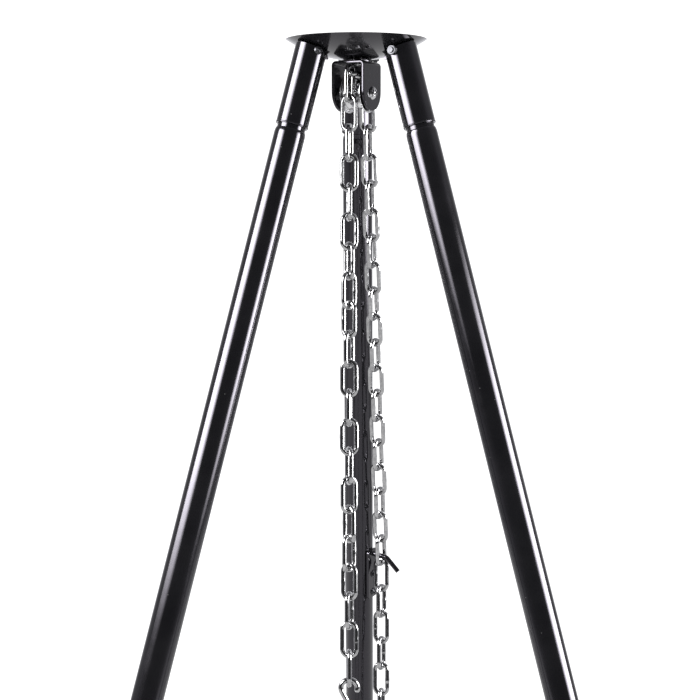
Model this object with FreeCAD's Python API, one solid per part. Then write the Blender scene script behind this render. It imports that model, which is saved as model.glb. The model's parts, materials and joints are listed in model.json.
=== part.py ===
import FreeCAD, Part
import math
import os

from FreeCAD import Placement, Rotation, Vector

# Campfire tripod with a swinging grate.  Millimetres, +Z up, floor at z = 0.
# The tripod stands on three feet.  The origin is on the floor, in the middle of the box around
# the object, so the tripod's own vertical axis lies in front of it at y = AXIS_Y.

# ---- driving dimensions -----------------------------------------------------------------------
RIM_HEIGHT = 1800.0        # top edge of the head dish above the floor
LEG_SPLAY = 15.87          # angle of each leg from the vertical, degrees
LEG_RADIUS = 43.0          # where a leg's axis meets the plane of the dish's rim
LEG_ANGLES = {"left": 210.0, "right": 330.0, "back": 90.0}

DISH_RADIUS = 63.6
DISH_DEPTH = 18.9
DISH_SHEET = 2.0

TUBE_RADIUS = 14.0
TUBE_WALL = 1.2
SLEEVE_RADIUS = 14.5
NECK_CLEARANCE = 0.07      # radial play of a swaged neck in its socket
NECK_WALL = 1.2
PIVOT_DROP = 13.0          # leg pivot below the rim plane
SLEEVE_TOP_DROP = 6.0
DISH_GAP = 2.0             # room between the dish and a sleeve, which is cut to its curve
SLEEVE_END_DROP = 79.5
NECK_SHOWING = 6.0
SHOULDER = 3.0
NECK_DEPTH = 47.0

BRACKET_TURN = -25.5       # direction of the pulley axle, degrees from +X
BRACKET_TOP_DROP = 20.2
BRACKET_HALF_WIDTH = 16.2
BRACKET_SHEET = 2.5
EAR_RADIUS = 17.9
EAR_RISE = 1.8             # centre of an ear's round end above the axle
AXLE_DROP = 48.5
AXLE_RADIUS = 3.0
WHEEL_OFFSET = 2.0         # the wheel sits off the bracket's middle, towards the screw head
FLANGE_RADIUS = 17.6
FLANGE = 1.2
SEAT_RADIUS = 14.2         # flat links lie across the wheel here, between its flanges
SLOT_WIDTH = 5.8           # upright links dip into a slot in the middle of that seat
SLOT_RADIUS = 5.5          # bottom of the slot

CHAIN_WIRE = 4.2
CHAIN_PITCH = 26.4
CHAIN_WIDTH = 17.2
CHAIN_PLAY = 0.4           # free gap between two links that hang in each other, or on the wheel
LOAD_TWIST = -11.0         # the load strand twists by this much at each link, degrees
TAIL_TWIST = -3.0
LOAD_LEAN = 3.0            # links that come down off the wheel lean outwards, degrees
CONTROL_LEAN = 3.0
LOAD_LINKS = 20
CONTROL_LINKS = 18
TAIL_LINKS = 16

PEG_RADIUS = 2.3
HOOK_ANGLE = -33.0         # side of the back leg that carries the chain hook, degrees from +X
HOOK_PLATE = (52.0, 16.0, 2.5)
PEG_STAND_OFF = 9.8

S_WIRE = 5.0
S_LOOP = 7.5               # centre-line radius of the S-hook's loops
S_HALF = 16.0              # half the distance between the loops' centres

RING_RADIUS = 17.5
RING_WIRE = 5.0
FINE_WIRE = 3.0
FINE_PITCH = 22.0
FINE_WIDTH = 13.0
FINE_LINKS = 24
GRATE_RADIUS = 196.0       # centre line of the grate's rim
RIM_WIRE = 8.0
BAR_WIRE = 5.0
BAR_GAP = 18.0
CROSS_WIRE = 6.0
CROSS_OFFSET = 80.0
EYE_WIRE = 4.0
EYE_RADIUS = 8.0
EYE_ANGLES = (0.0, 120.0, 240.0)
WELD = 0.3                 # how far welded wires sink into each other

FOOT_RADIUS = 17.0
FOOT_LENGTH = 42.0
FOOT_SOLE = 8.0

# ---- directions and helpers -------------------------------------------------------------------
UP = Vector(0, 0, 1)
X_AXIS = Vector(1, 0, 0)
Y_AXIS = Vector(0, 1, 0)
SPLAY = math.radians(LEG_SPLAY)


def level(angle):
    """Horizontal unit vector at an angle from +X, in degrees."""
    return Vector(math.cos(math.radians(angle)), math.sin(math.radians(angle)), 0)


def unit(vector):
    result = Vector(vector)
    result.normalize()
    return result


def rod(start, end, radius):
    """Round rod between two points."""
    return Part.makeCylinder(radius, (end - start).Length, start, end - start)


def washer(start, direction, outer, inner, height):
    ring = Part.makeCylinder(outer, height, start, direction)
    bore = Part.makeCylinder(inner, 3 * height, start - direction * height, direction)
    return ring.cut(bore)


def hexagon(start, direction, across_flats, height):
    """Hexagonal prism with a chamfered outline, as on a nut."""
    corner = across_flats / math.sqrt(3)
    points = [level(60.0 * i) * corner for i in range(7)]
    prism = Part.Face(Part.makePolygon(points)).extrude(UP * height)
    dome = Part.makeCone(corner + 0.2, corner - 0.5, height)
    prism = prism.common(dome)
    prism.Placement = Placement(start, Rotation(UP, direction))
    return prism


def nut(start, direction, across_flats, height, bore):
    hole = Part.makeCylinder(bore, 3 * height, start - direction * height, direction)
    return hexagon(start, direction, across_flats, height).cut(hole)


def pan_head(start, direction, radius, height):
    """Domed screw head with a cross recess; direction points out of the screw."""
    ball = (radius ** 2 + height ** 2) / (2 * height)
    head = Part.makeSphere(ball, Vector(0, 0, height - ball)).common(Part.makeCylinder(radius, height))
    slot = 0.28 * radius
    for size in ((radius * 1.2, slot), (slot, radius * 1.2)):
        corner = Vector(-size[0] / 2, -size[1] / 2, 0.45 * height)
        head = head.cut(Part.makeBox(size[0], size[1], height, corner))
    head.Placement = Placement(start, Rotation(UP, direction))
    return head


def link_shape(length, wire, width):
    """Upright link about the origin; length is measured between the wire's centres at its ends."""
    bend = (width - wire) / 2
    half = length / 2 - bend
    radius = wire / 2
    pieces = []
    for sign in (1, -1):
        centre = Vector(0, 0, sign * half)
        disc = Part.Face(Part.Wire(Part.makeCircle(radius, centre + X_AXIS * bend, UP)))
        pieces.append(disc.revolve(centre, Y_AXIS, -180 * sign))
        pieces.append(Part.makeCylinder(radius, 2 * half, Vector(sign * bend, 0, -half)))
    return pieces[0].multiFuse(pieces[1:]).removeSplitter()


def chain_link(start, end, across, wire, width, reach):
    """One link between two joints.  A joint is the point where two links bear on each other.

    across is the direction from one side of the link to the other, and reach the distance from
    each joint to the centre of the link's own wire beyond it."""
    along = unit(end - start)
    low = start - along * reach[0]
    high = end + along * reach[1]
    link = link_shape((high - low).Length, wire, width)
    link.Placement = Placement((low + high) / 2, Rotation(across, along.cross(across), along, "ZXY"))
    return link


def chain(start, direction, count, across, twist, wire, pitch, width):
    """Straight strand of links; each link is turned by a quarter turn and a little twist."""
    links = []
    play = CHAIN_PLAY / 2
    for i in range(count):
        first = start + direction * (pitch * i)
        last = first + direction * pitch
        turned = Rotation(direction, i * (90.0 + twist)).multVec(across)
        links.append(chain_link(first, last, turned, wire, width, (wire / 2 + play, wire / 2 + play)))
    return links


# ---- head -------------------------------------------------------------------------------------
BALL = (DISH_RADIUS ** 2 + DISH_DEPTH ** 2) / (2 * DISH_DEPTH)
FOOT_REACH = LEG_RADIUS + RIM_HEIGHT * math.tan(SPLAY)   # leg axis to tripod axis, on the floor
# The front feet stand at half that reach in front of the axis and the back foot at all of it.
AXIS_Y = -FOOT_REACH / 4
HEAD = Vector(0, AXIS_Y, RIM_HEIGHT)
BALL_CENTRE = HEAD + UP * (BALL - DISH_DEPTH)
AXLE_OUT = level(BRACKET_TURN)
CHAIN_SIDE = level(BRACKET_TURN + 90)      # from the front strand to the rear strand
AXLE = HEAD - UP * AXLE_DROP
WHEEL = AXLE + AXLE_OUT * WHEEL_OFFSET
SEAT_HALF_WIDTH = CHAIN_WIDTH / 2 + CHAIN_PLAY
WHEEL_HALF_WIDTH = SEAT_HALF_WIDTH + FLANGE
BOLT_RADIUS = 3.0
BOLT_PLAY = 0.05


def head_dish():
    shell = Part.makeSphere(BALL, BALL_CENTRE).cut(Part.makeSphere(BALL - DISH_SHEET, BALL_CENTRE))
    below = Part.makeCylinder(DISH_RADIUS + 1, 40, HEAD - UP * 40)
    hole = Part.makeCylinder(BOLT_RADIUS + 0.2, 80, HEAD - UP * 60)
    return shell.common(below).cut(hole)


def pulley_bracket():
    """Sheet bent to an upside-down U with round-ended ears, in its own frame at the axle."""
    top = AXLE_DROP - BRACKET_TOP_DROP
    outer = Part.makeBox(2 * BRACKET_HALF_WIDTH, 2 * EAR_RADIUS, top + EAR_RADIUS,
                         Vector(-BRACKET_HALF_WIDTH, -EAR_RADIUS, -EAR_RADIUS))
    gap = BRACKET_HALF_WIDTH - BRACKET_SHEET
    inner = Part.makeBox(2 * gap, 2 * EAR_RADIUS + 2, top - BRACKET_SHEET + EAR_RADIUS + 1,
                         Vector(-gap, -EAR_RADIUS - 1, -EAR_RADIUS - 1))
    outer = outer.makeFillet(4.0, top_edges(outer, top))
    inner = inner.makeFillet(4.0 - BRACKET_SHEET, top_edges(inner, top - BRACKET_SHEET))
    sheet = outer.cut(inner)
    ear = Part.makeCylinder(EAR_RADIUS, 60, Vector(-30, 0, EAR_RISE), X_AXIS)
    ear = ear.fuse(Part.makeBox(60, 2 * EAR_RADIUS, top, Vector(-30, -EAR_RADIUS, EAR_RISE)))
    sheet = sheet.common(ear)
    sheet = sheet.cut(Part.makeCylinder(AXLE_RADIUS + BOLT_PLAY, 60, Vector(-30, 0, 0), X_AXIS))
    sheet = sheet.cut(Part.makeCylinder(BOLT_RADIUS + BOLT_PLAY, 20, Vector(0, 0, top - 10)))
    sheet.Placement = Placement(AXLE, Rotation(UP, BRACKET_TURN))
    return sheet


def top_edges(box, height):
    """The two long edges of a box at a height, parallel to Y."""
    chosen = []
    for edge in box.Edges:
        ends = [vertex.Point for vertex in edge.Vertexes]
        if all(abs(p.z - height) < 1e-6 for p in ends) and abs(ends[0].x - ends[1].x) < 1e-6:
            chosen.append(edge)
    return chosen


def pulley_wheel():
    """Flanged wheel with a seat for flat links and a slot for upright ones."""
    slot = SLOT_WIDTH / 2
    bore = AXLE_RADIUS + BOLT_PLAY

    def at(x, radius):
        return Vector(x, 0, radius)

    def corner(start, end, bulge):
        """Quarter-round from start to end; bulge is the corner it rounds off."""
        middle = (start + end) / 2
        return Part.Arc(start, middle + (bulge - middle) * (math.sqrt(2) - 1), end).toShape()

    def half(sign):
        """Outline from the slot's bottom over the seat and the flange, back to the bore."""
        floor_end = at(sign * (slot - 1.0), SLOT_RADIUS)
        wall_start = at(sign * slot, SLOT_RADIUS + 1.0)
        wall_end = at(sign * slot, SEAT_RADIUS - 1.2)
        seat_start = at(sign * (slot + 1.2), SEAT_RADIUS)
        seat_end = at(sign * (SEAT_HALF_WIDTH - 0.8), SEAT_RADIUS)
        flange_start = at(sign * SEAT_HALF_WIDTH, SEAT_RADIUS + 0.8)
        flange_end = at(sign * SEAT_HALF_WIDTH, FLANGE_RADIUS - FLANGE / 2)
        rim = at(sign * (SEAT_HALF_WIDTH + FLANGE / 2), FLANGE_RADIUS)
        face = at(sign * WHEEL_HALF_WIDTH, FLANGE_RADIUS - FLANGE / 2)
        base = at(sign * WHEEL_HALF_WIDTH, bore)
        return [Part.makeLine(at(0, SLOT_RADIUS), floor_end),
                corner(floor_end, wall_start, at(sign * slot, SLOT_RADIUS)),
                Part.makeLine(wall_start, wall_end),
                corner(wall_end, seat_start, at(sign * slot, SEAT_RADIUS)),
                Part.makeLine(seat_start, seat_end),
                corner(seat_end, flange_start, at(sign * SEAT_HALF_WIDTH, SEAT_RADIUS)),
                Part.makeLine(flange_start, flange_end),
                Part.Arc(flange_end, rim, face).toShape(),
                Part.makeLine(face, base),
                Part.makeLine(base, at(0, bore))]

    outline = Part.Wire(Part.__sortEdges__(half(1) + half(-1)))
    wheel = Part.Face(outline).revolve(Vector(0, 0, 0), X_AXIS, 360)
    wheel.Placement = Placement(WHEEL, Rotation(UP, BRACKET_TURN))
    return wheel


def axle_screw():
    """Pan-head screw that is the pulley's axle; its head is outside the right ear."""
    start = AXLE + AXLE_OUT * (BRACKET_HALF_WIDTH + 0.1)
    shank = rod(AXLE - AXLE_OUT * (BRACKET_HALF_WIDTH + 7.0), start, AXLE_RADIUS)
    return shank.fuse(pan_head(start, AXLE_OUT, 6.0, 3.8))


def axle_nut():
    start = AXLE - AXLE_OUT * (BRACKET_HALF_WIDTH + 0.1)
    return nut(start, AXLE_OUT * -1, 10.0, 5.0, AXLE_RADIUS + BOLT_PLAY)


def axle_spacers():
    """Bush on one side of the wheel and a washer on the other, which keep it off the ears."""
    inner_face = BRACKET_HALF_WIDTH - BRACKET_SHEET
    play = 0.15
    left = inner_face + WHEEL_OFFSET - WHEEL_HALF_WIDTH
    right = inner_face - WHEEL_OFFSET - WHEEL_HALF_WIDTH
    bore = AXLE_RADIUS + BOLT_PLAY
    left_face = AXLE - AXLE_OUT * (inner_face - play)
    right_face = AXLE + AXLE_OUT * (inner_face - play)
    bush = washer(left_face, AXLE_OUT, 5.2, bore, left - 2 * play)
    thin = washer(right_face, AXLE_OUT * -1, 6.0, bore, right - 2 * play)
    return {"axle_bush": bush, "axle_washer": thin}


def bracket_bolt():
    """Bolt that hangs the bracket under the dish: its low head is inside the bracket."""
    seat = HEAD - UP * (BRACKET_TOP_DROP + BRACKET_SHEET)
    shank = Part.makeCylinder(BOLT_RADIUS, 15.0, seat)
    return shank.fuse(pan_head(seat, UP * -1, 5.5, 1.8))


def bracket_nut():
    seat = HEAD - UP * (DISH_DEPTH - DISH_SHEET - 1.2)
    return nut(seat, UP, 10.0, 5.0, BOLT_RADIUS + BOLT_PLAY)


def bracket_washers():
    """One washer between dish and bracket, and one under the nut in the bowl of the dish."""
    below = HEAD - UP * BRACKET_TOP_DROP
    gap = BRACKET_TOP_DROP - DISH_DEPTH
    spacer = washer(below, UP, 7.0, BOLT_RADIUS + BOLT_PLAY, gap - 0.1)
    upper = HEAD - UP * (DISH_DEPTH - DISH_SHEET - 0.2)
    return Part.makeCompound([spacer, washer(upper, UP, 6.5, BOLT_RADIUS + BOLT_PLAY, 0.9)])


# ---- legs -------------------------------------------------------------------------------------
# A leg is built upright about its pivot: x points outwards, z up along the leg.
def along_leg(drop):
    """Place along the leg, from the pivot, of a point so far below the rim plane."""
    return -(drop - PIVOT_DROP) / math.cos(SPLAY)


def pivot_point(angle):
    return HEAD + level(angle) * (LEG_RADIUS + PIVOT_DROP * math.tan(SPLAY)) - UP * PIVOT_DROP


def leg_placement(angle):
    lean = Rotation(Y_AXIS, -LEG_SPLAY)
    return Placement(pivot_point(angle), Rotation(UP, angle).multiply(lean))


SLEEVE_TOP = along_leg(SLEEVE_TOP_DROP)
SLEEVE_END = along_leg(SLEEVE_END_DROP)
FLOOR = along_leg(RIM_HEIGHT)
TUBE_START = SLEEVE_END - NECK_SHOWING
TUBE_END = FLOOR + FOOT_SOLE + TUBE_RADIUS * math.tan(SPLAY)
TUBE_MIDDLE = (TUBE_START + TUBE_END) / 2
SOCKET_RADIUS = TUBE_RADIUS - TUBE_WALL
NECK_RADIUS = SOCKET_RADIUS - NECK_CLEARANCE
LUG_HALF = 2.0
PIVOT_RADIUS = 2.5
SLOT_HALF = 2.6
SLOT_DEPTH = 4.5


def leg_sleeve(angle):
    """Socket tube that a leg plugs into, slotted for the lug and cut to the dish's curve."""
    length = SLEEVE_TOP - SLEEVE_END
    base = Vector(0, 0, SLEEVE_END)
    bead = Part.makeTorus(SLEEVE_RADIUS - 0.5, 0.8, Vector(0, 0, SLEEVE_END + 0.8))
    sleeve = Part.makeCylinder(SLEEVE_RADIUS, length, base).fuse(bead)
    sleeve = sleeve.cut(Part.makeCylinder(SOCKET_RADIUS, length, base))
    slot = Part.makeBox(20, 2 * SLOT_HALF, 40, Vector(-20, -SLOT_HALF, -SLOT_DEPTH))
    pin_hole = Part.makeCylinder(PIVOT_RADIUS + BOLT_PLAY, 60, Vector(0, -30, 0), Y_AXIS)
    sleeve = sleeve.cut(slot).cut(pin_hole)
    sleeve.Placement = leg_placement(angle)
    return sleeve.cut(Part.makeSphere(BALL + DISH_GAP, BALL_CENTRE))


def leg_lug(angle):
    """Upright plate welded under the dish; its inner corner reaches out through the sleeve's slot."""
    outer = SOCKET_RADIUS - 0.3
    points = [(outer, 30), (outer, -1), (8, -5), (-7, -5), (-12, -2.5), (-18.5, -1.5), (-15, 4),
              (-15, 30), (outer, 30)]
    face = Part.Face(Part.makePolygon([Vector(u, -LUG_HALF, w) for u, w in points]))
    plate = face.extrude(Y_AXIS * (2 * LUG_HALF))
    plate = plate.cut(Part.makeCylinder(PIVOT_RADIUS + BOLT_PLAY, 20, Vector(0, -10, 0), Y_AXIS))
    plate.Placement = leg_placement(angle)
    return plate.cut(Part.makeSphere(BALL, BALL_CENTRE))


def pivot_bolt(placement):
    """Bolt across sleeve and lug; its head faces the front of the tripod."""
    seat = SLEEVE_RADIUS + 0.3
    shank = Part.makeCylinder(PIVOT_RADIUS, 2 * seat + 5.5, Vector(0, -seat - 5.5, 0), Y_AXIS)
    bolt = shank.fuse(pan_head(Vector(0, seat, 0), Y_AXIS, 3.9, 2.8))
    bolt.Placement = placement
    return bolt


def pivot_nut(placement):
    piece = nut(Vector(0, -SLEEVE_RADIUS - 0.3, 0), Y_AXIS * -1, 8.0, 4.0, PIVOT_RADIUS + BOLT_PLAY)
    piece.Placement = placement
    return piece


def leg_tube(start, end):
    """Steel tube with a swaged neck above its shoulder at start."""
    neck_top = start + (NECK_DEPTH + NECK_SHOWING if start == TUBE_START else NECK_DEPTH)
    outline = [(SOCKET_RADIUS, end), (TUBE_RADIUS, end), (TUBE_RADIUS, start - SHOULDER),
               (NECK_RADIUS, start), (NECK_RADIUS, neck_top - 1.0),
               (NECK_RADIUS - 0.6, neck_top), (NECK_RADIUS - NECK_WALL, neck_top),
               (NECK_RADIUS - NECK_WALL, start - SHOULDER), (SOCKET_RADIUS, start - 2 * SHOULDER),
               (SOCKET_RADIUS, end)]
    face = Part.Face(Part.makePolygon([Vector(radius, 0, w) for radius, w in outline]))
    tube = face.revolve(Vector(0, 0, 0), UP, 360)
    return tube


def leg_foot(angle):
    """Plastic cap on a leg's end, with a sole cut level with the floor."""
    top = TUBE_END + FOOT_LENGTH - FOOT_SOLE
    cap = Part.makeCylinder(FOOT_RADIUS, top - FLOOR + 40, Vector(0, 0, FLOOR - 40))
    cap = cap.makeFillet(2.0, [edge for edge in cap.Edges if abs(edge.BoundBox.ZMin - top) < 1e-6
                               and abs(edge.BoundBox.ZMax - top) < 1e-6])
    cap = cap.cut(Part.makeCylinder(TUBE_RADIUS + 0.05, 80, Vector(0, 0, TUBE_END)))
    cap.Placement = leg_placement(angle)
    ground = Part.makeBox(4000, 4000, 200, Vector(-2000, -2000, -200))
    return cap.cut(ground)


# ---- chain ------------------------------------------------------------------------------------
# Upright and flat links take turns over the wheel.  The centre of an upright link's round end is
# a joint there: a flat link swings about it and stays clear of the upright link's wire.
END_ROUND = (CHAIN_WIDTH - CHAIN_WIRE) / 2
CROSSING = CHAIN_WIRE + CHAIN_PLAY
UPRIGHT_SPAN = CHAIN_PITCH + CROSSING - 2 * END_ROUND
FLAT_SPAN = CHAIN_PITCH - CROSSING + 2 * END_ROUND
OVER_WHEEL = WHEEL + UP * (SEAT_RADIUS + CHAIN_WIRE / 2 + CHAIN_PLAY)
FRONT_TOP = OVER_WHEEL - CHAIN_SIDE * (FLAT_SPAN / 2)
REAR_TOP = OVER_WHEEL + CHAIN_SIDE * (FLAT_SPAN / 2)


def wrap_end(top, way, lean):
    """Lower joint of an upright link that leans outwards from a joint above it."""
    tilt = math.radians(lean)
    return top + (way * math.sin(tilt) - UP * math.cos(tilt)) * UPRIGHT_SPAN


FRONT_END = wrap_end(FRONT_TOP, CHAIN_SIDE * -1, LOAD_LEAN)
REAR_END = wrap_end(REAR_TOP, CHAIN_SIDE, CONTROL_LEAN)
STRAND_START = END_ROUND - CROSSING / 2      # from such a joint to where a straight strand bears
LOAD_TOP = FRONT_END - UP * STRAND_START
HOOK_OUT = level(HOOK_ANGLE)
LEG_UP = leg_placement(LEG_ANGLES["back"]).Rotation.multVec(UP)
HOOK_NORMAL = unit(HOOK_OUT - LEG_UP * HOOK_OUT.dot(LEG_UP))
LINK_OUT = TUBE_RADIUS + HOOK_PLATE[2] + PEG_STAND_OFF   # hooked link's plane from the leg's axis


def hook_centre(drop):
    """Point of the peg's axis in the plane of the hooked link, for a drop below the rim."""
    axis = pivot_point(LEG_ANGLES["back"]) + LEG_UP * along_leg(drop)
    return axis + HOOK_NORMAL * LINK_OUT


def hook_drop():
    """Drop at which the stretched control strand reaches the peg."""
    low, high = 300.0, 700.0
    # The peg bears on the wire of the tail's first link, which lies in the end of the hooked link.
    wanted = STRAND_START + CONTROL_LINKS * CHAIN_PITCH - (CROSSING + PEG_RADIUS)
    for _ in range(60):
        middle = (low + high) / 2
        if (hook_centre(middle) - REAR_END).Length < wanted:
            low = middle
        else:
            high = middle
    return low


HOOK_DROP = hook_drop()
PEG_POINT = hook_centre(HOOK_DROP)
CONTROL_WAY = unit(PEG_POINT - REAR_END)
CONTROL_TOP = REAR_END + CONTROL_WAY * STRAND_START
TAIL_TOP = CONTROL_TOP + CONTROL_WAY * (CONTROL_LINKS * CHAIN_PITCH)


def wrap_links():
    """Links over the wheel: upright ones in its groove and a flat one across its rims."""
    joints = (FRONT_END, FRONT_TOP, REAR_TOP, REAR_END)
    links = []
    for i in range(3):
        along = unit(joints[i + 1] - joints[i])
        flat = i % 2 == 1
        across = AXLE_OUT if flat else along.cross(AXLE_OUT)
        reach = CROSSING - END_ROUND if flat else END_ROUND
        links.append(chain_link(joints[i], joints[i + 1], across, CHAIN_WIRE, CHAIN_WIDTH, (reach, reach)))
    return links


def load_links():
    """Load strand: it starts square to the upright link in the groove, and twists slowly."""
    return chain(LOAD_TOP, UP * -1, LOAD_LINKS, AXLE_OUT, LOAD_TWIST,
                 CHAIN_WIRE, CHAIN_PITCH, CHAIN_WIDTH)


def angle_about(axis, first, second):
    """Signed angle in degrees from first to second about an axis they are square to."""
    return math.degrees(math.atan2(axis.dot(first.cross(second)), first.dot(second)))


def control_links():
    """Control strand: from the wheel's groove it twists until its last link faces the peg."""
    first = unit(AXLE_OUT - CONTROL_WAY * AXLE_OUT.dot(CONTROL_WAY))
    last = unit(HOOK_NORMAL.cross(CONTROL_WAY))
    steps = CONTROL_LINKS - 1
    short = angle_about(CONTROL_WAY, first, last) - steps * 90.0
    twist = ((short + 90.0) % 180.0 - 90.0) / steps
    return chain(CONTROL_TOP, CONTROL_WAY, CONTROL_LINKS, first, twist,
                 CHAIN_WIRE, CHAIN_PITCH, CHAIN_WIDTH)


def tail_links():
    """Free end of the chain, hanging from the hooked link."""
    across = Vector(HOOK_NORMAL.x, HOOK_NORMAL.y, 0)
    return chain(TAIL_TOP, UP * -1, TAIL_LINKS, unit(across), TAIL_TWIST,
                 CHAIN_WIRE, CHAIN_PITCH, CHAIN_WIDTH)


def hook_frame():
    """Frame on the back leg's skin: x out of the leg, y across the plate, z up the leg, at the peg."""
    return Placement(PEG_POINT - HOOK_NORMAL * LINK_OUT,
                     Rotation(HOOK_NORMAL, LEG_UP.cross(HOOK_NORMAL), LEG_UP, "XYZ"))


HOOK_SCREWS = (-22.0, -42.0)     # along the leg, from the peg
SCREW_RADIUS = 2.0


def chain_hook():
    """Flat strap with a round peg bent down at its top; the chain is hung over the peg."""
    length, width, thick = HOOK_PLATE
    top = 4.0
    skin = TUBE_RADIUS + 0.05
    strap = Part.makeBox(thick, width, length, Vector(skin, -width / 2, top - length))
    upright = [edge for edge in strap.Edges if edge.BoundBox.XLength > thick - 0.1]
    strap = strap.makeFillet(3.0, upright)
    slope = 42.0
    bend = 7.0
    straight = LINK_OUT + 3.5
    middle = Vector(straight, 0, -bend)
    disc = Part.Face(Part.Wire(Part.makeCircle(PEG_RADIUS, Vector(straight, 0, 0), X_AXIS)))
    elbow = disc.revolve(middle, Y_AXIS, slope)
    angle = math.radians(slope)
    heading = Vector(math.cos(angle), 0, -math.sin(angle))
    elbow_end = middle + Vector(math.sin(angle), 0, math.cos(angle)) * bend
    peg = rod(Vector(skin + 0.5, 0, 0), Vector(straight, 0, 0), PEG_RADIUS)
    tip = rod(elbow_end, elbow_end + heading * 16.0, PEG_RADIUS)
    hook = strap.multiFuse([peg, elbow, tip])
    for place in HOOK_SCREWS:
        hook = hook.cut(Part.makeCylinder(SCREW_RADIUS + BOLT_PLAY, 40, Vector(0, 0, place), X_AXIS))
    hook.Placement = hook_frame()
    return hook.removeSplitter()


def hook_screws():
    """Two self-cutting screws with domed heads that hold the hook to the leg."""
    screws = []
    head = TUBE_RADIUS + HOOK_PLATE[2] + 0.1
    for place in HOOK_SCREWS:
        shank = Part.makeCylinder(SCREW_RADIUS, 10.0, Vector(head - 10.0, 0, place), X_AXIS)
        screws.append(shank.fuse(pan_head(Vector(head, 0, place), X_AXIS, 3.9, 2.4)))
    group = Part.makeCompound(screws)
    group.Placement = hook_frame()
    return group


def hook_holes():
    """Pilot holes for the hook's screws, in the back leg's tube."""
    holes = [Part.makeCylinder(SCREW_RADIUS + BOLT_PLAY, 40, Vector(0, 0, place), X_AXIS)
             for place in HOOK_SCREWS]
    group = Part.makeCompound(holes)
    group.Placement = hook_frame()
    return group


# ---- S-hook, ring, grate ----------------------------------------------------------------------
LOAD_END = LOAD_TOP - UP * (LOAD_LINKS * CHAIN_PITCH)
S_TOP = LOAD_END + UP * (S_WIRE / 2 + CHAIN_PLAY / 2)        # wire centre at the top of the hook
S_CENTRE = S_TOP - UP * (S_HALF + S_LOOP)
RING_TOP = S_CENTRE - UP * (S_HALF + S_LOOP) + UP * (S_WIRE / 2 + RING_WIRE / 2 + CHAIN_PLAY / 2)
RING_CENTRE = RING_TOP - UP * RING_RADIUS
S_TIP_ANGLE = -15.0       # where each loop of the S ends, below level
# The S-hook is square to the last link of the load strand, and the ring is square to the S-hook.
S_TURN = BRACKET_TURN - (LOAD_LINKS - 1) * (90.0 + LOAD_TWIST) + 90.0


def s_hook():
    """S-shaped wire in the plane that faces the front, with a long slanting middle."""
    lean = S_LOOP / S_HALF
    slant = math.degrees(math.asin(lean))
    radius = S_WIRE / 2
    pieces = []
    for sign in (1, -1):
        centre = Vector(0, 0, sign * S_HALF)
        tip_angle = math.radians(S_TIP_ANGLE)
        tip = centre + Vector(math.cos(tip_angle), 0, math.sin(tip_angle)) * (sign * S_LOOP)
        heading = Vector(-math.sin(tip_angle), 0, math.cos(tip_angle))
        disc = Part.Face(Part.Wire(Part.makeCircle(radius, tip, heading)))
        pieces.append(disc.revolve(centre, Y_AXIS * -1, 180 + slant - S_TIP_ANGLE))
        pieces.append(Part.makeSphere(radius, tip))
    offset = Vector(-math.cos(math.radians(slant)), 0, -lean) * S_LOOP
    start = Vector(0, 0, S_HALF) + offset
    pieces.append(rod(start, start * -1, radius))
    hook = pieces[0].multiFuse(pieces[1:])
    hook.Placement = Placement(S_CENTRE, Rotation(UP, S_TURN))
    return hook.removeSplitter()


def top_ring():
    """Closed ring square to the S-hook, which gathers the grate's three chains."""
    return Part.makeTorus(RING_RADIUS, RING_WIRE / 2, RING_CENTRE, X_AXIS)


FINE_PLAY = CHAIN_PLAY / 2
EYE_OUT = GRATE_RADIUS + 3.0
FINE_REACH = FINE_LINKS * FINE_PITCH
HANG = math.asin((EYE_OUT - 5.0) / FINE_REACH)     # lean of the grate's chains, near enough


def fine_way(angle):
    """Unit vector down one of the grate's chains."""
    return level(angle) * math.sin(HANG) - UP * math.cos(HANG)


def fine_start(angle):
    """Where a chain bears on the ring: there the ring's wire is square to the chain."""
    way = fine_way(angle)
    turn = math.atan2(way.y, -way.z)
    wire_centre = RING_CENTRE + Vector(0, math.sin(turn), -math.cos(turn)) * RING_RADIUS
    return wire_centre - way * (RING_WIRE / 2 + FINE_PLAY / 2)


def grate_height():
    """Height of the eyes' upper wire, from the chain that hangs in the ring's middle."""
    return fine_start(0.0).z - FINE_REACH * math.cos(HANG)


EYE_TOP = grate_height() + EYE_WIRE / 2 + FINE_PLAY
EYE_HEIGHT = EYE_TOP - EYE_RADIUS
RIM_Z = EYE_HEIGHT - EYE_RADIUS - EYE_WIRE / 2 - math.sqrt(RIM_WIRE ** 2 / 4 - 9.0) + WELD
BAR_Z = RIM_Z + RIM_WIRE / 2 + BAR_WIRE / 2 - WELD
CROSS_Z = BAR_Z - BAR_WIRE / 2 - CROSS_WIRE / 2 + WELD
GRATE = Vector(LOAD_TOP.x, LOAD_TOP.y, 0)


def eye_joint(angle):
    """Where a chain's last link bears on the upper wire of its eye."""
    wire_centre = GRATE + level(angle) * EYE_OUT + UP * EYE_TOP
    return wire_centre + fine_way(angle) * (EYE_WIRE / 2 + FINE_PLAY / 2)


def grate_chain(angle):
    """Chain from the ring to an eye of the rim; its links differ a little in direction only."""
    start = fine_start(angle)
    end = eye_joint(angle)
    way = unit(end - start)
    pitch = (end - start).Length / FINE_LINKS
    turn = math.atan2(fine_way(angle).y, -fine_way(angle).z)
    ring_wire = Vector(0, math.cos(turn), math.sin(turn))
    first = unit(way.cross(ring_wire))
    last = unit(way.cross(level(angle + 90)))
    steps = FINE_LINKS - 1
    short = angle_about(way, first, last) - steps * 90.0
    twist = ((short + 90.0) % 180.0 - 90.0) / steps
    links = chain(start, way, FINE_LINKS, first, twist, FINE_WIRE, pitch, FINE_WIDTH)
    return Part.makeCompound(links)


def grate_rim():
    return Part.makeTorus(GRATE_RADIUS, RIM_WIRE / 2, GRATE + UP * RIM_Z, UP)


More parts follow.
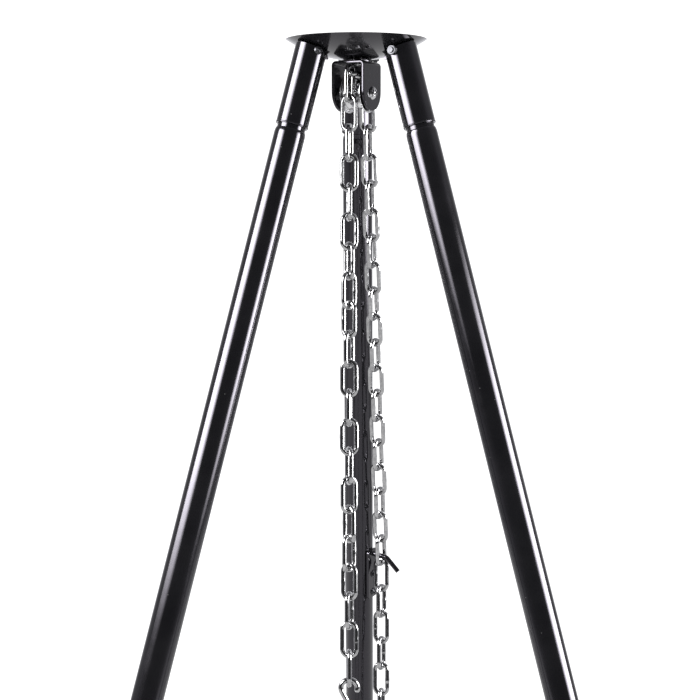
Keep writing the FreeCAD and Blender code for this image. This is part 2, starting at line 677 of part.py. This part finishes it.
def grate_bars():
    """Parallel bars welded on the rim, none on the middle line."""
    bars = []
    count = int((GRATE_RADIUS - 4) / BAR_GAP + 0.5)
    for i in range(count):
        for sign in (-1, 1):
            x = sign * BAR_GAP * (i + 0.5)
            half = math.sqrt((GRATE_RADIUS - 2) ** 2 - x ** 2)
            middle = GRATE + Vector(x, 0, BAR_Z)
            bars.append(rod(middle - Y_AXIS * half, middle + Y_AXIS * half, BAR_WIRE / 2))
    return Part.makeCompound(bars)


def grate_cross_bars():
    bars = []
    for y in (-CROSS_OFFSET, CROSS_OFFSET):
        half = math.sqrt((GRATE_RADIUS - RIM_WIRE / 2 + WELD) ** 2 - y ** 2)
        middle = GRATE + Vector(0, y, CROSS_Z)
        bars.append(rod(middle - X_AXIS * half, middle + X_AXIS * half, CROSS_WIRE / 2))
    return Part.makeCompound(bars)


def grate_eyes():
    eyes = []
    for angle in EYE_ANGLES:
        centre = GRATE + level(angle) * EYE_OUT + UP * EYE_HEIGHT
        eyes.append(Part.makeTorus(EYE_RADIUS, EYE_WIRE / 2, centre, level(angle)))
    return Part.makeCompound(eyes)


# ---- all nodes --------------------------------------------------------------------------------
def build():
    nodes = {"head_dish": head_dish(), "pulley_bracket": pulley_bracket(), "pulley_wheel": pulley_wheel(),
             "axle_screw": axle_screw(), "axle_nut": axle_nut(), "bracket_bolt": bracket_bolt(),
             "bracket_nut": bracket_nut(), "bracket_washers": bracket_washers()}
    nodes.update(axle_spacers())
    placements = {side: leg_placement(angle) for side, angle in LEG_ANGLES.items()}
    nodes["pivot_bolts"] = Part.makeCompound([pivot_bolt(placement) for placement in placements.values()])
    nodes["pivot_nuts"] = Part.makeCompound([pivot_nut(placement) for placement in placements.values()])
    tubes = {"upper_tube": leg_tube(TUBE_START, TUBE_MIDDLE), "lower_tube": leg_tube(TUBE_MIDDLE, TUBE_END)}
    for side, angle in LEG_ANGLES.items():
        nodes["leg_lug_" + side] = leg_lug(angle)
        nodes["leg_sleeve_" + side] = leg_sleeve(angle)
        for name, shape in tubes.items():
            piece = shape.copy()
            piece.Placement = placements[side]
            nodes[name + "_" + side] = piece
        nodes["foot_" + side] = leg_foot(angle)
    nodes["upper_tube_back"] = nodes["upper_tube_back"].cut(hook_holes())
    nodes["chain_hook"] = chain_hook()
    nodes["hook_screws"] = hook_screws()
    load = load_links()
    control = control_links()
    nodes["chain_over_wheel"] = Part.makeCompound(wrap_links())
    nodes["load_chain_first_link"] = load[0]
    nodes["load_chain"] = Part.makeCompound(load[1:])
    nodes["control_chain"] = Part.makeCompound(control[:-1])
    nodes["hooked_link"] = control[-1]
    nodes["chain_tail"] = Part.makeCompound(tail_links())
    nodes["s_hook"] = s_hook()
    nodes["grate_ring"] = top_ring()
    for index, angle in enumerate(EYE_ANGLES):
        nodes["grate_chain_%d" % (index + 1)] = grate_chain(angle)
    nodes["grate_rim"] = grate_rim()
    nodes["grate_bars"] = grate_bars()
    nodes["grate_cross_bars"] = grate_cross_bars()
    nodes["grate_eyes"] = grate_eyes()
    return nodes


NODES = build()
os.makedirs("parts", exist_ok=True)
for node_name, node_shape in NODES.items():
    node_shape.exportStep("parts/" + node_name + ".step")
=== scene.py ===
"""Looks of the campfire tripod grate: materials, chains, tubes, floor, light and camera."""

import json
import math
import random

import bmesh
import bpy
import numpy as np
from mathutils import Matrix, Vector

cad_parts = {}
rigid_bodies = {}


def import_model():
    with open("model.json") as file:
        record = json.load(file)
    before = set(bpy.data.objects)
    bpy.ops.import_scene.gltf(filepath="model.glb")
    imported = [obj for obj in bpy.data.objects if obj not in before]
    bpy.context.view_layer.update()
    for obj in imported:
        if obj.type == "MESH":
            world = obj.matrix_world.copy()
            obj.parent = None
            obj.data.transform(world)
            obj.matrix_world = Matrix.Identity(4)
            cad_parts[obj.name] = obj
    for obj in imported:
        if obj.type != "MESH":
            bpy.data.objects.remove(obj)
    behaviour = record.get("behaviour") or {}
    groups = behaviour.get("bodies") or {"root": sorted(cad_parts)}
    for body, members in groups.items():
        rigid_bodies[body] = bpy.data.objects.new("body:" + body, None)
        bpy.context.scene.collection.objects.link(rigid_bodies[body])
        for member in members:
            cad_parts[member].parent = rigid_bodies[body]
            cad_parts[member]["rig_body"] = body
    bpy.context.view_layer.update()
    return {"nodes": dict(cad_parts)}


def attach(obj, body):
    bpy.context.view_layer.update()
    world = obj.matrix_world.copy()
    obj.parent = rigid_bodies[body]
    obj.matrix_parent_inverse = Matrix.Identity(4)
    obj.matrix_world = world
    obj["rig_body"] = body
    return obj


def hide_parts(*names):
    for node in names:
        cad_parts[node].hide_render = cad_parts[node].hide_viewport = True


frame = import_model()

# ---- sizes, in metres -------------------------------------------------------------------------
MM = 0.001
SIDES = ("left", "right", "back")

TUBE_RADIUS = 14.0 * MM
TUBE_BORE = 12.8 * MM
NECK_RADIUS = 12.68 * MM
NECK_BORE = 11.53 * MM
NECK_DEPTH = 47.0 * MM      # of the neck, inside its socket
NECK_SHOWING = 6.0 * MM     # of an upper tube's neck, below its sleeve
SHOULDER = 3.0 * MM
UPPER_RISE = 2.5 * MM       # how far an upper tube's shoulder starts up its showing neck
LOWER_RISE = -0.2 * MM      # a lower tube's shoulder clears the end of the upper tube
EDGE = 0.3 * MM             # rounding of a cut tube end
EDGE_MIDDLE = 0.3 * EDGE    # distance of the rounding's middle point from each face
TUBE_SIDES = 96
TUBE_RUNS = 8
SHOULDER_STEPS = 8
TUBE_CREASE = math.radians(50)

CHAIN_WIRE = 4.2 * MM
FINE_WIRE = 3.0 * MM
WELD_LENGTH = 0.45          # of a link's butt weld, in wire thicknesses
WELD_SWELL = 0.075          # of the wire's radius at the weld
WELD_SHIFT = 0.6            # largest distance of the weld from the middle, in weld lengths
WELD_SIDE = 0.9             # share of the bend's radius beyond which the straight side lies
CHAIN_DETAIL = (12, 13, 16)  # steps of a round end, steps of a straight side, sides of the wire
FINE_DETAIL = (8, 7, 12)

WELDED_POINTS = 0.002 * MM
FLAT_ANGLE = math.radians(0.4)
ROUNDED_ANGLE = math.radians(40)
CREASE_ANGLE = math.radians(35)

# Edge rounding of each piece, in millimetres; the domed screw heads take more steps.
BRACKET_ROUNDING = 0.75
BRACKET_STEPS = 3
PLAIN_STEPS = 2
DOME_STEPS = 5
ROUNDED = {
    "leg_lug_left": 0.4,
    "leg_lug_right": 0.4,
    "leg_lug_back": 0.4,
    "chain_hook": 0.4,
    "axle_nut": 0.3,
    "bracket_nut": 0.3,
    "pivot_nuts": 0.25,
    "leg_sleeve_left": 0.3,
    "leg_sleeve_right": 0.3,
    "leg_sleeve_back": 0.3,
    "foot_left": 0.6,
    "foot_right": 0.6,
    "foot_back": 0.6,
    "pulley_wheel": 0.25,
}
DOMED = {"pivot_bolts": 1.0, "axle_screw": 0.6, "bracket_bolt": 0.4, "hook_screws": 0.4}

# ---- stage ------------------------------------------------------------------------------------
FLOOR_RADIUS = 4.2
FLOOR_SIDES = 96
WHITE = 1.35                # of the ground that the camera and the floor see
# Brightness of the room in reflections, from behind the camera (-1) to behind the object (1).
ROOM = ((-1.0, 0.05), (-0.8, 0.07), (-0.5, 0.16), (-0.1, 0.5), (0.1, 0.5), (0.6, 0.45), (0.97, 1.2))
ROOM_BLUE = 0.04

CAMERA_PLACE = Vector((0.0275, -1.9043, 1.6211))
CAMERA_PITCH = math.radians(3.283)
CAMERA_TURN = 0.0188
CAMERA_REACH = 200.0
SENSOR = 36.0
LENS = 100.08


# ---- materials --------------------------------------------------------------------------------
def grey(value, blue=0.0):
    """Grey of a brightness, with some more blue than red and green."""
    return (value, value, value * (1.0 + blue))


class Nodes:
    """Small helper that adds nodes to a material and links them."""

    def __init__(self, name):
        self.material = bpy.data.materials.new(name)
        self.material.use_nodes = True
        self.tree = self.material.node_tree
        self.shader = self.tree.nodes["Principled BSDF"]
        self.place = self.add("ShaderNodeTexCoord").outputs["Object"]

    def add(self, kind, **settings):
        """New node with some of its settings."""
        node = self.tree.nodes.new(kind)
        for key, value in settings.items():
            setattr(node, key, value)
        return node

    def link(self, source, target):
        """Link an output to an input."""
        self.tree.links.new(source, target)

    def feed(self, name, source):
        """Link an output to one of the shader's inputs."""
        self.link(source, self.shader.inputs[name])

    def fix(self, name, value):
        """Set one of the shader's inputs to a value that is the same all over."""
        self.shader.inputs[name].default_value = value

    def noise(self, scale, detail=2.0, roughness=0.5):
        """Cloudy noise over the object; scale is in cells per metre."""
        node = self.add("ShaderNodeTexNoise")
        node.inputs["Scale"].default_value = scale
        node.inputs["Detail"].default_value = detail
        node.inputs["Roughness"].default_value = roughness
        self.link(self.place, node.inputs["Vector"])
        return node.outputs["Fac"]

    def ramp(self, source, stops):
        """Colour ramp; stops are (place, colour)."""
        node = self.add("ShaderNodeValToRGB")
        elements = node.color_ramp.elements
        for element, (place, colour) in zip(elements, stops):
            element.position = place
            element.color = tuple(colour) + (1.0,)
        self.link(source, node.inputs["Fac"])
        return node.outputs["Color"]

    def range(self, source, low, high, to_low, to_high):
        """Straight map of low..high to to_low..to_high, held at its ends."""
        node = self.add("ShaderNodeMapRange")
        node.inputs["From Min"].default_value = low
        node.inputs["From Max"].default_value = high
        node.inputs["To Min"].default_value = to_low
        node.inputs["To Max"].default_value = to_high
        self.link(source, node.inputs["Value"])
        return node.outputs["Result"]

    def bump(self, height, distance, strength, below=None):
        """Bumps of a height in metres, on top of the bumps below."""
        node = self.add("ShaderNodeBump")
        node.inputs["Distance"].default_value = distance
        node.inputs["Strength"].default_value = strength
        self.link(height, node.inputs["Height"])
        if below is not None:
            self.link(below, node.inputs["Normal"])
        return node.outputs["Normal"]

    def times(self, first, second):
        """Product of two outputs."""
        node = self.add("ShaderNodeMath", operation="MULTIPLY")
        self.link(first, node.inputs[0])
        self.link(second, node.inputs[1])
        return node.outputs["Value"]

    def specks(self, scale, share, radius, strength):
        """Small round specks in a share of the cells of a pattern."""
        cells = self.add("ShaderNodeTexVoronoi")
        cells.inputs["Scale"].default_value = scale
        self.link(self.place, cells.inputs["Vector"])
        chance = self.add("ShaderNodeSeparateColor")
        self.link(cells.outputs["Color"], chance.inputs["Color"])
        picked = self.range(chance.outputs["Red"], 1.0 - share, 1.005 - share, 0.0, 1.0)
        spot = self.range(cells.outputs["Distance"], radius / 2, radius, strength, 0.0)
        return self.times(spot, picked)


def black_coat():
    """Glossy black powder coat: fine orange peel, faint cloudiness, a few dust specks."""
    m = Nodes("black_coat")
    peel = m.noise(scale=900.0)
    wave = m.noise(scale=120.0)
    cloud = m.noise(scale=25.0, detail=4.0, roughness=0.6)
    paint = m.ramp(cloud, [(0.35, grey(0.0065, 0.15)), (0.65, grey(0.0095, 0.12))])
    mixed = m.add("ShaderNodeMix", data_type="RGBA")
    m.link(m.specks(scale=230.0, share=0.035, radius=0.1, strength=0.8), mixed.inputs["Factor"])
    m.link(paint, mixed.inputs["A"])
    mixed.inputs["B"].default_value = grey(0.25) + (1.0,)
    m.feed("Base Color", mixed.outputs["Result"])
    m.feed("Roughness", m.range(cloud, low=0.3, high=0.7, to_low=0.09, to_high=0.16))
    waves = m.bump(wave, distance=0.06 * MM, strength=0.35)
    m.feed("Normal", m.bump(peel, distance=0.012 * MM, strength=0.5, below=waves))
    m.fix("Specular IOR Level", 0.42)
    m.fix("Specular Tint", (1.0, 0.95, 1.08, 1.0))
    return m.material


def black_screw():
    """Black-finished steel, rubbed brighter in places."""
    m = Nodes("black_screw")
    rub = m.noise(scale=700.0, detail=3.0)
    m.feed("Base Color", m.ramp(rub, [(0.4, grey(0.02, 0.2)), (0.75, grey(0.07, 0.1))]))
    m.feed("Roughness", m.range(rub, low=0.3, high=0.7, to_low=0.22, to_high=0.4))
    m.feed("Normal", m.bump(rub, distance=0.03 * MM, strength=0.5))
    m.fix("Metallic", 0.6)
    return m.material


def bright_metal(name, dark, light, smooth, rough, dent):
    """Bright metal between two tones and two roughnesses, with fine grain and small dents."""
    m = Nodes(name)
    tone = m.noise(scale=260.0, detail=4.0, roughness=0.65)
    grain = m.noise(scale=1500.0)
    dents = m.noise(scale=420.0, roughness=0.4)
    m.feed("Base Color", m.ramp(tone, [(0.3, grey(dark, 0.03)), (0.7, grey(light, 0.01))]))
    m.feed("Roughness", m.range(grain, low=0.3, high=0.7, to_low=smooth, to_high=rough))
    hollows = m.bump(dents, distance=dent, strength=0.6)
    m.feed("Normal", m.bump(grain, distance=0.01 * MM, strength=0.4, below=hollows))
    m.fix("Metallic", 1.0)
    return m.material


def foot_plastic():
    """Matt black moulded plastic with a fine spark-eroded grain."""
    m = Nodes("foot_plastic")
    grain = m.noise(scale=1800.0)
    tone = m.noise(scale=60.0, detail=3.0)
    m.feed("Base Color", m.ramp(tone, [(0.3, grey(0.012)), (0.7, grey(0.02))]))
    m.feed("Roughness", m.range(grain, low=0.3, high=0.7, to_low=0.45, to_high=0.6))
    m.feed("Normal", m.bump(grain, distance=0.03 * MM, strength=0.8))
    return m.material


MATERIALS = {
    "black_coat": black_coat(),
    "black_screw": black_screw(),
    "zinc_chain": bright_metal("zinc_chain", dark=0.28, light=0.46, smooth=0.05, rough=0.11,
                               dent=0.01 * MM),
    "zinc_wheel": bright_metal("zinc_wheel", dark=0.5, light=0.66, smooth=0.14, rough=0.26,
                               dent=0.04 * MM),
    "zinc_fastener": bright_metal("zinc_fastener", dark=0.4, light=0.6, smooth=0.14, rough=0.26,
                                  dent=0.03 * MM),
    "grate_steel": bright_metal("grate_steel", dark=0.13, light=0.21, smooth=0.18, rough=0.3,
                                dent=0.03 * MM),
    "foot_plastic": foot_plastic(),
}


# ---- mesh helpers -----------------------------------------------------------------------------
def new_object(name, mesh, node, slot):
    """Object that rides on a CAD node's body and stands for that node."""
    piece = bpy.data.objects.new(name, mesh)
    bpy.context.scene.collection.objects.link(piece)
    mesh.materials.clear()
    mesh.materials.append(MATERIALS[slot])
    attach(piece, frame["nodes"][node]["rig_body"])
    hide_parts(node)


def new_stage(name, mesh, material):
    """Object of the studio, which isn't part of the tripod."""
    piece = bpy.data.objects.new(name, mesh)
    bpy.context.scene.collection.objects.link(piece)
    mesh.materials.append(material)
    return piece


def slot_of(node):
    """Material slot of a CAD node, from its own material's name."""
    return frame["nodes"][node].data.materials[0].name.split(".")[0]


def solids(node):
    """Frames of a CAD node's separate solids, as (centre, axes from the longest, half sizes)."""
    mesh = frame["nodes"][node].data
    points = np.empty(len(mesh.vertices) * 3)
    mesh.vertices.foreach_get("co", points)
    points = points.reshape(-1, 3)
    mesh.calc_loop_triangles()
    corners = np.empty(len(mesh.loop_triangles) * 3, int)
    mesh.loop_triangles.foreach_get("vertices", corners)
    welded, index = np.unique(np.round(points, 6), axis=0, return_inverse=True)
    corners = index.reshape(-1)[corners.reshape(-1, 3)]
    # Each welded point takes the lowest label among its neighbours until nothing changes.
    label = np.arange(len(welded))
    while True:
        lowest = label[corners].min(axis=1)
        fresh = label.copy()
        for column in range(3):
            np.minimum.at(fresh, corners[:, column], lowest)
        fresh = fresh[fresh]
        if (fresh == label).all():
            break
        label = fresh
    found = []
    for name in np.unique(label):
        mine = corners[label[corners[:, 0]] == name]
        a, b, c = (welded[mine[:, i]] for i in range(3))
        area = np.linalg.norm(np.cross(b - a, c - a), axis=1)[:, None]
        middle = (a + b + c) / 3
        centre = (middle * area).sum(axis=0) / area.sum()
        spread = ((middle - centre) * area).T @ (middle - centre)
        _, axes = np.linalg.eigh(spread)
        axes = axes[:, ::-1].T
        own = (welded[label == name] - centre) @ axes.T
        half = (own.max(axis=0) - own.min(axis=0)) / 2
        centre = centre + ((own.max(axis=0) + own.min(axis=0)) / 2) @ axes
        found.append((Vector(centre), [Vector(v) for v in axes], half))
    return found


def placed(centre, across, normal, along):
    """Matrix that carries x, y, z to across, normal, along at a centre."""
    turned = Matrix((across, normal, along)).transposed()
    if turned.determinant() < 0:
        turned = Matrix((across, -normal, along)).transposed()
    return Matrix.Translation(centre) @ turned.to_4x4()


def circle(sides):
    """Cosine and sine of each corner of a regular polygon."""
    turns = [2 * math.pi * k / sides for k in range(sides)]
    return [(math.cos(turn), math.sin(turn)) for turn in turns]


def join_rings(shape, rings):
    """Skin a closed loop of rings, each a closed loop of vertices."""
    sides = len(rings[0])
    for low, high in zip(rings, rings[1:] + rings[:1]):
        for k in range(sides):
            after = (k + 1) % sides
            shape.faces.new((low[k], low[after], high[after], high[k]))


# ---- chains -----------------------------------------------------------------------------------
def link_path(bend, half, arc_steps, side_steps):
    """Middle line of a link in the xz plane: two half circles and two straight sides."""
    path = []
    for end in (1, -1):
        for i in range(arc_steps + 1):
            turn = math.pi * i / arc_steps
            sideways = end * bend * math.cos(turn)
            path.append(Vector((sideways, 0, end * (half + bend * math.sin(turn)))))
        for i in range(1, side_steps):
            path.append(Vector((-end * bend, 0, end * half * (1 - 2 * i / side_steps))))
    return path


def link_shape(half_length, half_width, wire, detail, rng):
    """One link: round ends, straight sides, and a butt weld in the middle of one side."""
    arc_steps, side_steps, sides = detail
    bend = half_width - wire / 2
    path = link_path(bend, half_length - wire / 2 - bend, arc_steps, side_steps)
    weld = WELD_LENGTH * wire
    shift = rng.uniform(-WELD_SHIFT, WELD_SHIFT) * weld
    shape = bmesh.new()
    normal = Vector((0, 1, 0))
    rings = []
    for i, point in enumerate(path):
        on_side = point.x > WELD_SIDE * bend
        swell = math.exp(-((point.z - shift) / weld) ** 2) if on_side else 0.0
        radius = wire / 2 * (1 + WELD_SWELL * swell)
        along = (path[(i + 1) % len(path)] - path[i - 1]).normalized()
        across = along.cross(normal)
        rings.append([shape.verts.new(point + (across * x + normal * y) * radius)
                      for x, y in circle(sides)])
    join_rings(shape, rings)
    return shape


def build_chain(node, wire, detail, slot):
    """All links of a CAD chain node as one smooth mesh."""
    rng = random.Random(len(node) * 7 + 3)
    whole = bmesh.new()
    scratch = bpy.data.meshes.new("scratch")
    for centre, axes, half in solids(node):
        link = link_shape(half[0], half[1], wire, detail, rng)
        flip = rng.choice((1, -1))
        link.transform(placed(centre, axes[1] * flip, axes[2], axes[0]))
        link.to_mesh(scratch)
        link.free()
        whole.from_mesh(scratch)
    mesh = bpy.data.meshes.new(node + "_links")
    bmesh.ops.recalc_face_normals(whole, faces=whole.faces)
    whole.to_mesh(mesh)
    whole.free()
    mesh.shade_smooth()
    new_object(node + "_links", mesh, node, slot)


# ---- leg tubes --------------------------------------------------------------------------------
def shoulder(low, high, start, length):
    """Points of a rounded shoulder, from radius low at the start to high at its end."""
    points = []
    for i in range(SHOULDER_STEPS + 1):
        turn = math.pi / 2 * i / SHOULDER_STEPS
        points.append((low + (high - low) * math.sin(turn), start + length * (1 - math.cos(turn))))
    return points


def tube_profile(length, neck, rise):
    """Points (radius, distance from the top) round the wall of a leg tube."""
    run = length - neck - SHOULDER
    profile = [
        (NECK_BORE, 2 * EDGE),
        (NECK_BORE + EDGE, EDGE_MIDDLE),
        (NECK_RADIUS - EDGE, 0.0),
        (NECK_RADIUS - EDGE_MIDDLE, EDGE_MIDDLE),
        (NECK_RADIUS, EDGE),
    ]
    profile += shoulder(NECK_RADIUS, TUBE_RADIUS, neck - rise, SHOULDER + rise)
    profile += [(TUBE_RADIUS, neck + SHOULDER + run * i / TUBE_RUNS) for i in range(1, TUBE_RUNS)]
    profile += [
        (TUBE_RADIUS, length - EDGE),
        (TUBE_RADIUS - EDGE_MIDDLE, length - EDGE_MIDDLE),
        (TUBE_RADIUS - EDGE, length),
        (TUBE_BORE, length),
        (TUBE_BORE, neck + 2 * SHOULDER),
        (NECK_BORE, neck),
    ]
    return profile


def build_tube(node, neck_showing, rise):
    """Leg tube turned about its axis, with a swaged neck and a rounded shoulder."""
    centre, axes, half = solids(node)[0]
    down = axes[0] if axes[0].z < 0 else -axes[0]
    length = 2 * half[0]
    top = centre - down * (length / 2)
    across = down.cross(Vector((0, 0, 1))).normalized()
    square = down.cross(across)
    shape = bmesh.new()
    rings = []
    for radius, drop in tube_profile(length, NECK_DEPTH + neck_showing, rise):
        middle = top + down * drop
        rings.append([shape.verts.new(middle + (across * x + square * y) * radius)
                      for x, y in circle(TUBE_SIDES)])
    join_rings(shape, rings)
    bmesh.ops.recalc_face_normals(shape, faces=shape.faces)
    mesh = bpy.data.meshes.new(node + "_tube")
    shape.to_mesh(mesh)
    shape.free()
    mesh.shade_smooth()
    mesh.set_sharp_from_angle(angle=TUBE_CREASE)
    new_object(node + "_tube", mesh, node, "black_coat")


# ---- sheet, screws, sleeves and feet ----------------------------------------------------------
def build_rounded(node, width, steps, clamp=True):
    """Copy of a CAD node rebuilt from its flat and turned faces, with its edges rounded."""
    shape = bmesh.new()
    shape.from_mesh(frame["nodes"][node].data)
    bmesh.ops.remove_doubles(shape, verts=shape.verts, dist=WELDED_POINTS)
    bmesh.ops.dissolve_limit(shape, angle_limit=FLAT_ANGLE, verts=shape.verts, edges=shape.edges)
    edges = [edge for edge in shape.edges
             if len(edge.link_faces) == 2 and edge.calc_face_angle() > ROUNDED_ANGLE]
    made = bmesh.ops.bevel(shape, geom=edges, offset=width * MM, segments=steps, profile=0.5,
                           affect="EDGES", clamp_overlap=clamp)
    rounding = set(made["faces"])
    for face in shape.faces:
        face.smooth = True
    # The rounding is shaded on its own, so that it doesn't bend the light on the long faces.
    for edge in shape.edges:
        crossing = sum(face in rounding for face in edge.link_faces) == 1
        edge.smooth = not crossing and edge.calc_face_angle(0.0) < CREASE_ANGLE
    mesh = bpy.data.meshes.new(node + "_rounded")
    shape.to_mesh(mesh)
    shape.free()
    new_object(node + "_rounded", mesh, node, slot_of(node))


# ---- studio -----------------------------------------------------------------------------------
def build_floor():
    """Plain pale floor, a disc that ends out of view."""
    mesh = bpy.data.meshes.new("floor")
    shape = bmesh.new()
    bmesh.ops.create_circle(shape, cap_ends=True, segments=FLOOR_SIDES, radius=FLOOR_RADIUS)
    shape.to_mesh(mesh)
    shape.free()
    m = Nodes("floor")
    tone = m.noise(scale=3.0, detail=3.0)
    m.feed("Base Color", m.ramp(tone, [(0.3, grey(0.79)), (0.7, grey(0.82))]))
    m.fix("Roughness", 0.9)
    m.fix("Specular IOR Level", 0.0)
    new_stage("floor", mesh, m.material)


def build_softbox(name, start, end, low, high, radiance, fades):
    """Glowing upright panel between two floor points, only seen in reflections.

    fades are the widths over which it dims: at the start, at the end, at the bottom, at the top.
    """
    run = Vector((end[0] - start[0], end[1] - start[1], 0.0))
    width = run.length
    mesh = bpy.data.meshes.new(name)
    corners = [(0, 0, low), (width, 0, low), (width, 0, high), (0, 0, high)]
    mesh.from_pydata(corners, [], [(0, 1, 2, 3)])
    m = Nodes(name)
    split = m.add("ShaderNodeSeparateXYZ")
    m.link(m.place, split.inputs[0])
    glow = None
    for axis, edge, inner in (("X", 0.0, fades[0]), ("X", width, width - fades[1]),
                              ("Z", low, low + fades[2]), ("Z", high, high - fades[3])):
        step = m.add("ShaderNodeMapRange", interpolation_type="SMOOTHSTEP")
        step.inputs["From Min"].default_value = edge
        step.inputs["From Max"].default_value = inner
        m.link(split.outputs[axis], step.inputs["Value"])
        fade = step.outputs["Result"]
        glow = fade if glow is None else m.times(glow, fade)
    light = m.add("ShaderNodeEmission")
    light.inputs["Strength"].default_value = radiance
    m.link(glow, light.inputs["Color"])
    m.link(light.outputs[0], m.tree.nodes["Material Output"].inputs["Surface"])
    panel = new_stage(name, mesh, m.material)
    panel.location = (start[0], start[1], 0.0)
    panel.rotation_euler = (0.0, 0.0, math.atan2(run.y, run.x))
    panel.visible_camera = False
    panel.visible_diffuse = False
    panel.visible_shadow = False


def build_world():
    """White for the camera and the floor; in reflections a dark room with a white wall behind."""
    studio = bpy.data.worlds.new("studio")
    bpy.context.scene.world = studio
    studio.use_nodes = True
    tree = studio.node_tree
    tree.nodes.clear()
    add = tree.nodes.new
    link = tree.links.new

    split = add("ShaderNodeSeparateXYZ")
    link(add("ShaderNodeTexCoord").outputs["Generated"], split.inputs[0])
    depth = add("ShaderNodeMapRange")
    depth.inputs["From Min"].default_value = -1.0
    link(split.outputs["Y"], depth.inputs["Value"])
    room = add("ShaderNodeValToRGB")
    link(depth.outputs["Result"], room.inputs["Fac"])
    elements = room.color_ramp.elements
    while len(elements) < len(ROOM):
        elements.new(0.5)
    for element, (position, value) in zip(elements, ROOM):
        element.position = (position + 1) / 2
        element.color = grey(value, ROOM_BLUE) + (1.0,)
    mirrored = add("ShaderNodeBackground")
    link(room.outputs["Color"], mirrored.inputs["Color"])

    seen = add("ShaderNodeBackground")
    seen.inputs["Color"].default_value = (1, 1, 1, 1)
    seen.inputs["Strength"].default_value = WHITE

    ray = add("ShaderNodeLightPath")
    plain = add("ShaderNodeMath")
    plain.operation = "MAXIMUM"
    link(ray.outputs["Is Camera Ray"], plain.inputs[0])
    link(ray.outputs["Is Diffuse Ray"], plain.inputs[1])
    either = add("ShaderNodeMixShader")
    link(plain.outputs[0], either.inputs["Fac"])
    link(mirrored.outputs[0], either.inputs[1])
    link(seen.outputs[0], either.inputs[2])
    link(either.outputs[0], add("ShaderNodeOutputWorld").inputs["Surface"])


def build_camera():
    """Camera at the photograph's viewing angle."""
    camera = bpy.data.objects.new("camera", bpy.data.cameras.new("camera"))
    scene = bpy.context.scene
    scene.collection.objects.link(camera)
    camera.location = CAMERA_PLACE
    camera.rotation_euler = (math.pi / 2 - CAMERA_PITCH, 0.0, CAMERA_TURN)
    camera.data.sensor_width = SENSOR
    camera.data.lens = LENS
    camera.data.clip_end = CAMERA_REACH
    scene.camera = camera
    scene.view_settings.view_transform = "Standard"
    scene.view_settings.look = "None"


# ---- the object -------------------------------------------------------------------------------
for node in ("chain_over_wheel", "load_chain_first_link", "load_chain", "control_chain",
             "hooked_link", "chain_tail"):
    build_chain(node, CHAIN_WIRE, CHAIN_DETAIL, "zinc_chain")
for node in ("grate_chain_1", "grate_chain_2", "grate_chain_3"):
    build_chain(node, FINE_WIRE, FINE_DETAIL, "grate_steel")
for side in SIDES:
    build_tube("upper_tube_" + side, NECK_SHOWING, UPPER_RISE)
    build_tube("lower_tube_" + side, 0.0, LOWER_RISE)
build_rounded("pulley_bracket", BRACKET_ROUNDING, BRACKET_STEPS, clamp=False)
for node, width in ROUNDED.items():
    build_rounded(node, width, PLAIN_STEPS)
for node, width in DOMED.items():
    build_rounded(node, width, DOME_STEPS)
for node, cad in frame["nodes"].items():
    cad.data.materials[0] = MATERIALS[slot_of(node)]

# ---- the studio -------------------------------------------------------------------------------
build_floor()
build_world()
build_softbox("left_panel", start=(-1.45, -0.2), end=(-0.85, -1.4), low=1.45, high=2.7,
              radiance=33.0, fades=(0.15, 0.65, 0.4, 0.2))
build_softbox("right_panel", start=(1.08, -0.95), end=(1.36, 0.05), low=1.0, high=2.15,
              radiance=31.0, fades=(0.45, 0.12, 0.4, 0.4))
build_camera()
